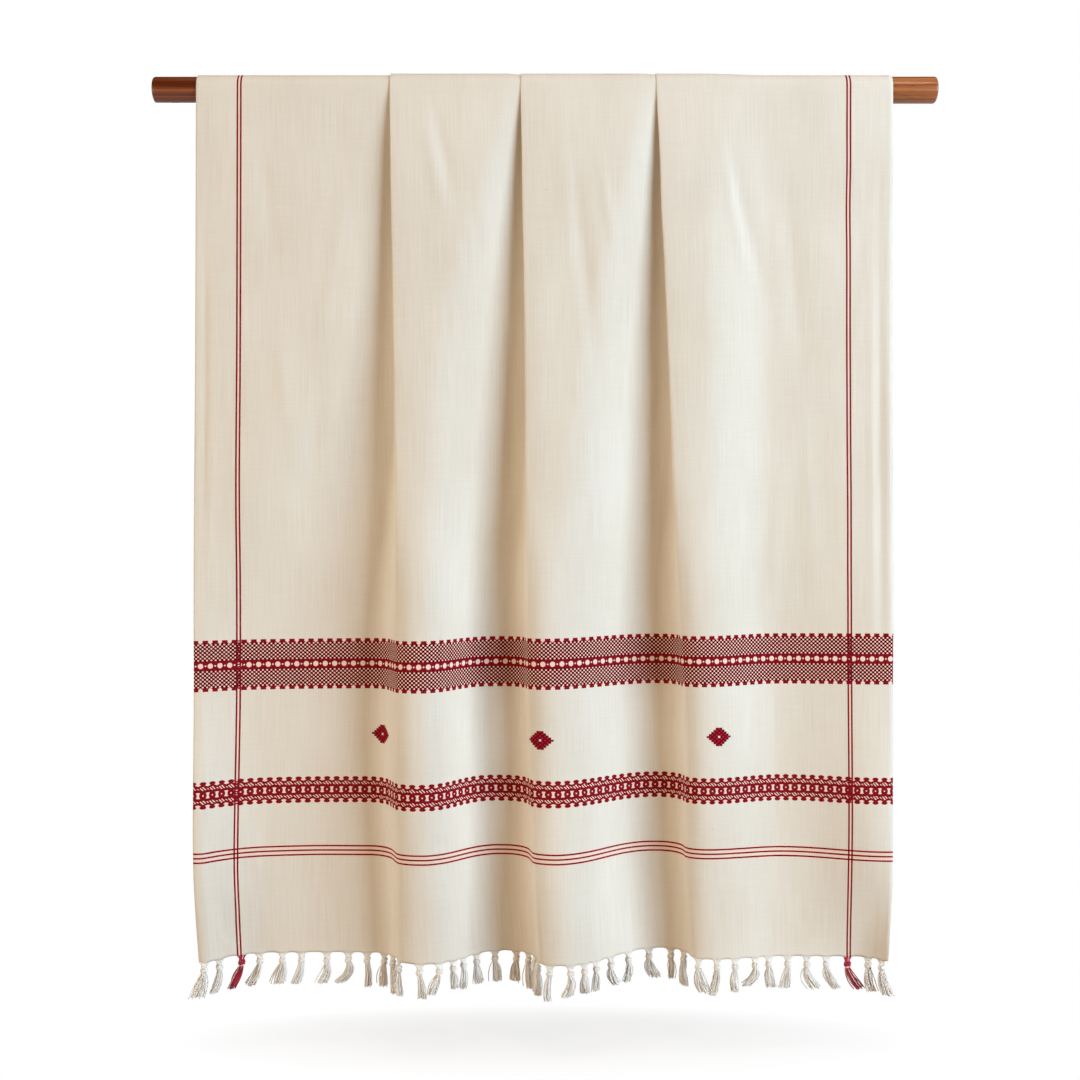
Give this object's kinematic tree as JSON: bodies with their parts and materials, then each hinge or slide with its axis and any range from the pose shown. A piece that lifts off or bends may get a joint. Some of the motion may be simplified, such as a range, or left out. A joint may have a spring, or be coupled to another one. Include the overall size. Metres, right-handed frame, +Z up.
{
  "type": "fringed woven towel on a wooden rod",
  "caption": "Long woven cotton towel with knotted fringe, hung in knife pleats over a round wooden rod.",
  "frame": {"origin": "middle of the rod's axis", "axes": "+X along the rod, to the viewer's right; the towel's good side and long drop face -Y; +Z is up"},
  "size_m": [0.85, 0.1499, 0.9958],
  "materials": {
    "varnished_wood": "reddish-brown clear varnish over straight grain, roughness 0.35",
    "ecru_cotton": "matt handwoven natural cotton, roughness 0.9"
  },
  "bodies": {
    "root": {"rod": "varnished_wood", "towel": "ecru_cotton", "fringe_front": "ecru_cotton", "fringe_back": "ecru_cotton"}
  },
  "joints": []
}
